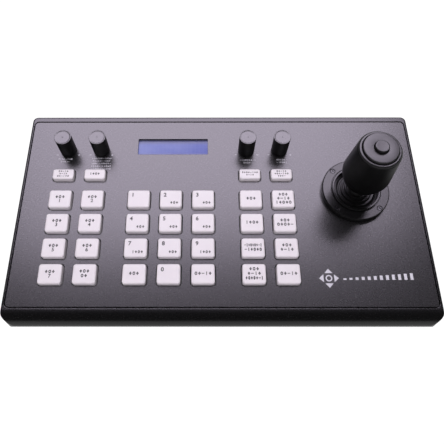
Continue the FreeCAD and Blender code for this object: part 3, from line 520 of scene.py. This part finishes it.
def rounded_ring(half_w, half_d, radius, per_corner=7):
    """Plan outline of a rounded rectangle, anticlockwise."""
    radius = max(min(radius, half_w, half_d), 0.05)
    points = []
    for side_x, side_y, start in ((1, 1, 0), (-1, 1, 90), (-1, -1, 180), (1, -1, 270)):
        for s in range(per_corner):
            a = math.radians(start + 90 * s / (per_corner - 1))
            u = side_x * (half_w - radius) + radius * math.cos(a)
            v = side_y * (half_d - radius) + radius * math.sin(a)
            points.append((u, v))
    return points


# ------------------------------------------------------------------ keys
KEY_SHOULDER = -1.0         # height at which a cap's side begins to lean inwards
KEY_DRAFT = 0.18
KEY_EDGE_R = 1.15
KEY_CORNER_R = 2.1
EDGE_STEPS = 6
TOP_INSET = 1.2


def key_levels():
    """(inset from the base outline, height) up a cap's side, round its edge and across its top."""
    levels = [(0.0, KEY_BOTTOM), (0.0, KEY_SHOULDER), (KEY_DRAFT, KEY_TOP - KEY_EDGE_R)]
    for s in range(1, EDGE_STEPS + 1):
        a = math.radians(90 * s / EDGE_STEPS)
        inset = KEY_DRAFT + KEY_EDGE_R * (1 - math.cos(a))
        levels.append((inset, KEY_TOP - KEY_EDGE_R * (1 - math.sin(a))))
    levels.append((KEY_DRAFT + KEY_EDGE_R + TOP_INSET, KEY_TOP))
    return levels


def make_key(node):
    x, y = panel_xy(node + "_press")
    width, depth = SMALL_KEY if "small" in node else LARGE_KEY
    verts = []
    faces = []
    rings = []
    for inset, z in key_levels():
        outline = rounded_ring(width / 2 - inset, depth / 2 - inset, KEY_CORNER_R - inset * 0.7)
        rings.append(list(range(len(verts), len(verts) + len(outline))))
        verts += [on_panel(x + u, y + v, z) for u, v in outline]
    for low, high in zip(rings, rings[1:]):
        for s in range(len(low)):
            t = (s + 1) % len(low)
            faces.append((low[s], low[t], high[t], high[s]))
    faces.append(tuple(rings[-1]))
    faces.append(tuple(reversed(rings[0])))
    make_piece("cap_" + node, verts, faces, node, "key_white", (node,))


# ------------------------------------------------------------------ legends and prints
INK_SINK = 0.05
INK_RISE = 0.02
RING_SIDES = 14
SYMBOLS = ("diamond", "ring", "dash", "diamond", "bar", "ring", "diamond")
SYMBOL_FILL = 0.76          # a symbol's share of its pitch
KEY_ROOM = 13.4             # width that a key has for a row
KNOB_ROOM = 17.0
# row spacing, symbol pitch, symbol height and stroke
KEY_STYLE = (3.5, 2.6, 2.7, 0.58)
PAD_STYLE = (3.5, 2.2, 2.3, 0.54)
SMALL_KEY_STYLE = (2.1, 2.1, 2.1, 0.50)
SMALL_KEY_ROWS_STYLE = (2.15, 1.65, 1.6, 0.40)
KNOB_STYLE = (2.45, 1.5, 1.5, 0.26)
ROWS_LIFT = 0.2


class Print:
    """Flat marks gathered into one thin mesh on a plane of the panel's frame."""

    def __init__(self, x, y, z):
        self.x, self.y, self.z = x, y, z
        self.verts = []
        self.faces = []

    def rim(self, outline):
        """Puts an outline's points at the ink's two heights; returns the lower and the upper indices."""
        base = len(self.verts)
        count = len(outline)
        for height in (-INK_SINK, INK_RISE):
            self.verts += [on_panel(self.x + u, self.y + v, self.z + height) for u, v in outline]
        return list(range(base, base + count)), list(range(base + count, base + 2 * count))

    def wall(self, low, high):
        for i in range(len(low)):
            j = (i + 1) % len(low)
            self.faces.append((low[i], low[j], high[j], high[i]))

    def slab(self, outline):
        """Solid mark inside an anticlockwise outline."""
        low, high = self.rim(outline)
        self.wall(low, high)
        self.faces.append(tuple(high))
        self.faces.append(tuple(reversed(low)))

    def hollow(self, outer, inner):
        """Mark between two outlines with the same number of points."""
        low, high = self.rim(outer)
        inner_low, inner_high = self.rim(inner)
        self.wall(low, high)
        self.wall(inner_high, inner_low)
        self.wall(high, inner_high)
        self.wall(inner_low, low)

    def bar(self, u, v, w, h):
        left, right, low, high = u - w / 2, u + w / 2, v - h / 2, v + h / 2
        self.slab([(left, low), (right, low), (right, high), (left, high)])

    def outline_shape(self, sides, turn, u, v, w, h, stroke):
        """A hollow regular shape, as wide and as high as given."""
        corners = [math.radians(turn + 360.0 * i / sides) for i in range(sides)]
        wide = (max(map(math.cos, corners)) - min(map(math.cos, corners))) / 2
        high = (max(map(math.sin, corners)) - min(map(math.sin, corners))) / 2
        shrink = 1 - stroke / (min(w, h) / 2 * math.cos(math.pi / sides)) * min(wide, high)

        def loop(scale):
            reach_u = scale * w / 2 / wide
            reach_v = scale * h / 2 / high
            return [(u + reach_u * math.cos(a), v + reach_v * math.sin(a)) for a in corners]

        self.hollow(loop(1.0), loop(shrink))

    def symbol(self, kind, u, v, w, h, stroke):
        if kind == "bar":
            self.bar(u, v, stroke, h)
        elif kind == "dash":
            self.bar(u, v, w, stroke)
        else:
            self.outline_shape(RING_SIDES if kind == "ring" else 4, 0.0, u, v, w, h, stroke)

    def symbols(self, counts, u, v, style, room=KEY_ROOM):
        """Rows of plain symbols in place of words, one row for each count, centred on (u, v)."""
        line, pitch, height, stroke = style
        top = v + (len(counts) - 1) / 2 * line
        for row, count in enumerate(counts):
            step = min(pitch, room / count)
            for i in range(count):
                kind = SYMBOLS[(i * 2 + row * 3 + count) % len(SYMBOLS)]
                place = u + (i - (count - 1) / 2) * step
                self.symbol(kind, place, top - row * line, step * SYMBOL_FILL, height, stroke)

    def number(self, digits, u, v, size, weight):
        """A number centred on (u, v); weight thickens its strokes."""
        curve = bpy.data.curves.new("number", "FONT")
        curve.body = digits
        curve.size = size
        curve.offset = weight
        curve.extrude = (INK_SINK + INK_RISE) / 2
        curve.resolution_u = 3
        curve.align_x = "CENTER"
        curve.align_y = "CENTER"
        holder = bpy.data.objects.new("number", curve)
        mesh = bpy.data.meshes.new_from_object(holder)
        base = len(self.verts)
        middle = (INK_RISE - INK_SINK) / 2
        for vertex in mesh.vertices:
            a, b, c = vertex.co
            self.verts.append(on_panel(self.x + u + a, self.y + v + b, self.z + middle + c))
        self.faces += [tuple(base + i for i in polygon.vertices) for polygon in mesh.polygons]
        bpy.data.objects.remove(holder)
        bpy.data.meshes.remove(mesh)
        bpy.data.curves.remove(curve)

    def finish(self, name, body, material):
        return make_piece(name, self.verts, self.faces, body, material, smooth=False)


CHANNEL_COLUMNS = (1, 2)
FIRST_PAD_COLUMN = 3
SYMBOL_ROWS = {
    "key_c2_r4": (3, 2), "key_c3_r4": (3,), "key_c5_r4": (5,),
    "key_c6_r1": (3,), "key_c6_r2": (4,), "key_c6_r3": (9, 6), "key_c6_r4": (3, 4, 7),
    "key_c7_r1": (3, 4, 5), "key_c7_r2": (3, 5), "key_c7_r3": (3, 4), "key_c7_r4": (5,),
    "key_small_c1": (5, 4, 6), "key_small_c2": (4,), "key_small_c6": (8, 4), "key_small_c7": (5, 7, 4),
}
FOUR_SYMBOL_NUMBERS = (7, 9)
CHANNEL_NUMBER = (4.0, 0.10)    # height of a number and the weight added to its strokes
PAD_NUMBER = (4.5, 0.13)


def make_legend(node):
    """Numbers stay on the keys; words and letters become rows of plain symbols."""
    x, y = panel_xy(node + "_press")
    ink = Print(x, y, KEY_TOP)
    rows = SYMBOL_ROWS.get(node)
    if rows:
        style = KEY_STYLE
        if "small" in node:
            style = SMALL_KEY_STYLE if len(rows) == 1 else SMALL_KEY_ROWS_STYLE
        ink.symbols(rows, 0.0, ROWS_LIFT, style)
    elif int(node[5]) in CHANNEL_COLUMNS:
        ink.symbols((3,), 0.0, 1.6, KEY_STYLE)
        ink.number(str(2 * int(node[-1]) - 2 + int(node[5])), 0.0, -1.9, *CHANNEL_NUMBER)
    else:
        row = int(node[-1])
        number = 0 if row == 4 else 3 * (row - 1) + int(node[5]) - FIRST_PAD_COLUMN + 1
        ink.number(str(number), -4.6, 3.1, *PAD_NUMBER)
        if number > 1:
            count = 4 if number in FOUR_SYMBOL_NUMBERS else 3
            ink.symbols((count,), 5.8 - count * 1.05, -3.5, PAD_STYLE)
    ink.finish("legend_" + node, node, "legend_ink")


# rows under each knob: symbols in each row, and the offset and height of the first row
KNOB_ROWS = (
    ((8, 5), -2.0, 43.6), ((11, 10, 11, 11, 11), 0.5, 44.3), ((9, 5), 1.0, 42.6), ((6, 6), 1.6, 42.9),
)
TICK_AT = (9.0, -4.4)       # from a knob's centre
TICK = (1.7, 0.36)
DIRECTION_MARK = (79.3, -58.4)
DIRECTION_REACH = (3.9, 7.4)
DIRECTION_HALF = 3.0
DIRECTION_RING = (5.0, 0.9)
SCALE_START = 91.0
SCALE_BARS = 12
SCALE_PITCH = 4.5
SCALE_BAR_W = 2.2
SCALE_RISE = (1.2, 3.9)     # height of the first bar, and what the last has more
SCALE_DROP = 1.3


def make_panel_print():
    """Scale marks and symbol rows round the knobs, a four-way direction mark and a rising scale."""
    white = Print(0.0, 0.0, 0.0)
    tick_x, tick_y = TICK_AT
    long, thin = TICK
    for x, (rows, offset, top) in zip(KNOB_X, KNOB_ROWS):
        middle = top - (len(rows) - 1) / 2 * KNOB_STYLE[0]
        white.symbols(rows, x + offset, middle, KNOB_STYLE, room=KNOB_ROOM)
        for side in (-1, 1):
            white.bar(x + side * tick_x, KNOB_Y + tick_y, long, thin)
        for end in (-1, 1):
            white.bar(x + tick_x, KNOB_Y + tick_y + end * (long + thin) / 4, thin, (long - thin) / 2)
    mark_x, mark_y = DIRECTION_MARK
    root, tip = DIRECTION_REACH
    for dx, dy in ((1, 0), (0, 1), (-1, 0), (0, -1)):
        corners = [(tip, 0.0), (root, DIRECTION_HALF), (root, -DIRECTION_HALF)]
        white.slab([(mark_x + a * dx - b * dy, mark_y + a * dy + b * dx) for a, b in corners])
    ring, stroke = DIRECTION_RING
    white.outline_shape(24, 0.0, mark_x, mark_y, ring, ring, stroke)
    first, rise = SCALE_RISE
    for i in range(SCALE_BARS):
        height = first + rise * i / (SCALE_BARS - 1)
        white.bar(SCALE_START + i * SCALE_PITCH, mark_y - SCALE_DROP + height / 2, SCALE_BAR_W, height)
    white.finish("panel_print", "case", "print_white")


# ------------------------------------------------------------------ knobs
KNOB_R = 6.7
KNOB_TOP = 19.8
FACE_R = 6.1
FACE_Z = 19.7
FACE_EDGE = 0.35
CUTS = 8
CUT_PITCH = 0.8
CUT_DEPTH = 0.13
KNOB_FOOT = 0.8
FLUTES = (36, 0.28, 1.1, 18.5)      # count, depth, and the heights they run between
FLUTES_END = (18.4, 18.9)
RIM_H = 0.45


def make_knob(number, x):
    """Fluted side, a rounded rim and a sunk face with fine turned cuts round its middle."""
    face = [(FACE_R - FACE_EDGE - i * CUT_PITCH, FACE_Z - CUT_DEPTH * (i % 2), 0) for i in range(CUTS)]
    side = [(KNOB_R, z, 0) for z in FLUTES_END]
    outline = [
        (0, KNOB_FOOT, 0), (6.2, KNOB_FOOT, 0.2), (KNOB_R, 1.2, 0.3), *side, (KNOB_R, KNOB_TOP, 0.3),
        (FACE_R, KNOB_TOP, 0.1), *face, (0, FACE_Z, 0),
    ]
    name = "knob_%d" % number
    place = (x, KNOB_Y)
    knob = lathe("cap_" + name, outline, place, name, "knob_black", (name,), 144, FLUTES)
    paint_above(knob, KNOB_TOP - RIM_H, "knob_top")


# ------------------------------------------------------------------ joystick
# outlines, as (radius, height, corner radius)
SLEEVE = (
    (4.2, 56.4, 0), (4.2, 23.0, 0), (13.9, 23.0, 0.6), (14.9, 23.9, 0.6), (17.9, 32.3, 2.6),
    (15.3, 62.4, 0.8), (14.1, 63.9, 0.5), (12.8, 63.9, 0.2), (12.8, 60.6, 0), (6.0, 60.6, 0),
    (6.0, 56.4, 0), (4.2, 56.4, 0),
)
SLEEVE_RIM = 62.7
DISC = ((5.1, 60.6, 0), (12.3, 60.6, 0.1), (12.3, 65.6, 0.8), (5.1, 65.6, 0.35), (5.1, 60.6, 0))
BUTTON = ((0, 62.2, 0), (4.8, 62.2, 0.1), (4.8, 67.8, 0.8), (3.4, 67.75, 0.3), (0, 67.65, 0))


def make_grip():
    """Sleeve with a flared foot and a satin top rim, the disc let into it and the push button."""
    sleeve = lathe("grip_sleeve", SLEEVE, STICK, "grip", "grip_black", ("grip",), 128)
    paint_above(sleeve, SLEEVE_RIM, "grip_top")
    lathe("grip_disc", DISC, STICK, "grip", "grip_top", ("grip_cap",), 128)
    lathe("grip_push_button", BUTTON, STICK, "grip_button", "grip_top", ("grip_button",))


BOOT_FOOT = (14.4, 3.3)     # radius and height of the dome's foot, and of the root of its neck
BOOT_ROOT = (6.8, 8.8)
BOOT_SPLIT = 0.5
BOOT_WAVES = 3
RIDGE = (0.38, 0.46)        # how far a ridge stands outwards and upwards
BOOT_SKIN = 0.5
BEAD = (16.9, 3.4)
NECK_R = (5.2, 3.4)         # outside and bore
NECK_Z = (10.6, 17.2)
SEAM_LAP = 0.12
FOOT_HOLD = 0.15            # heights listed with each half of the boot: this far above the foot, and this far under the split
SPLIT_HOLD = 0.1


def dome(t, inset):
    """Radius and height of a point on the ridged dome, from its foot (0) to the root of its neck (1).
    The dome keeps rising through its ridges."""
    r, z = (a + (b - a) * t for a, b in zip(BOOT_FOOT, BOOT_ROOT))
    inwards = (Vector((0.0, PIVOT_Z)) - Vector((r, z))).normalized() * inset
    wave = math.sin(2 * math.pi * BOOT_WAVES * t)
    return r + RIDGE[0] * wave + inwards.x, z + RIDGE[1] * wave + inwards.y


def dome_run(start, end, inset, steps=44):
    """Outline points along the dome between two places."""
    return [(*dome(start + (end - start) * i / steps, inset), 0) for i in range(steps + 1)]


def make_boot():
    """Bellows in two pieces, split part-way up the ridged dome: a lower one and an upper one."""
    skin = BOOT_SKIN
    lower = dome_run(0.0, BOOT_SPLIT, 0.0) + dome_run(BOOT_SPLIT, 0.0, skin)
    lower += [(BEAD[0] - skin, 0.0, 0), (BEAD[0], 0.0, 0), (*BEAD, 0.3), lower[0]]
    upper = dome_run(BOOT_SPLIT, 1.0, SEAM_LAP)
    upper += [(NECK_R[0], NECK_Z[0], 0.8), (NECK_R[0], NECK_Z[1], 0.2), (NECK_R[1], NECK_Z[1], 0.2)]
    upper += [(NECK_R[1], NECK_Z[0] - skin, 0.5)] + dome_run(1.0, BOOT_SPLIT, skin - SEAM_LAP)
    upper.append(upper[0])
    foot_z = BOOT_FOOT[1]
    root_z = BOOT_ROOT[1]
    split_z = foot_z + (root_z - foot_z) * BOOT_SPLIT
    halves = (
        ("boot_lower", lower, "case", "pan_yoke", foot_z + FOOT_HOLD, split_z - SPLIT_HOLD, ("boot",)),
        ("boot_upper", upper, "pan_yoke", "stick", split_z - SPLIT_HOLD, root_z, ()),
    )
    for name, outline, below, above, start, end, replaced in halves:
        half = lathe(name, outline, STICK, None, "boot_rubber", replaced)
        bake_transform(half)


# ------------------------------------------------------------------ rear sockets
CONTACTS = 8
CONTACT_PITCH_M = 1.02 * MM
CONTACT_HALF_M = 0.18 * MM
CONTACT_RUN_M = ((-1.5 * MM, -4.3 * MM), (-9.5 * MM, -1.0 * MM))    # depth and height at the wire's ends


def make_contacts(mount):
    """Sprung contact wires rising from the floor of a network-type socket."""
    middle = Vector(MOUNTS[mount]["pos_m"])
    verts = []
    faces = []
    for i in range(CONTACTS):
        x = (i - (CONTACTS - 1) / 2) * CONTACT_PITCH_M
        base = len(verts)
        for depth, height in CONTACT_RUN_M:
            for dx, dz in ((-1, -1), (1, -1), (1, 1), (-1, 1)):
                verts.append(middle + Vector((x + dx * CONTACT_HALF_M, depth, height + dz * CONTACT_HALF_M)))
        faces += [tuple(base + k for k in (0, 1, 2, 3)), tuple(base + k for k in (7, 6, 5, 4))]
        faces += [tuple(base + k for k in (j, j + 4, (j + 1) % 4 + 4, (j + 1) % 4)) for j in range(4)]
    make_piece("contacts_" + mount, verts, faces, "case", "gold_contact", smooth=False)


# ------------------------------------------------------------------ the model
paint_nodes()
make_stage()
make_camera()
for node_name in sorted(NODES):
    if node_name.startswith("key_") and node_name != "key_switches":
        make_key(node_name)
        make_legend(node_name)
make_panel_print()
for knob_number, knob_x in enumerate(KNOB_X, start=1):
    make_knob(knob_number, knob_x)
make_grip()
make_boot()
for socket_name in ("network_socket", "serial_socket"):
    make_contacts(socket_name)
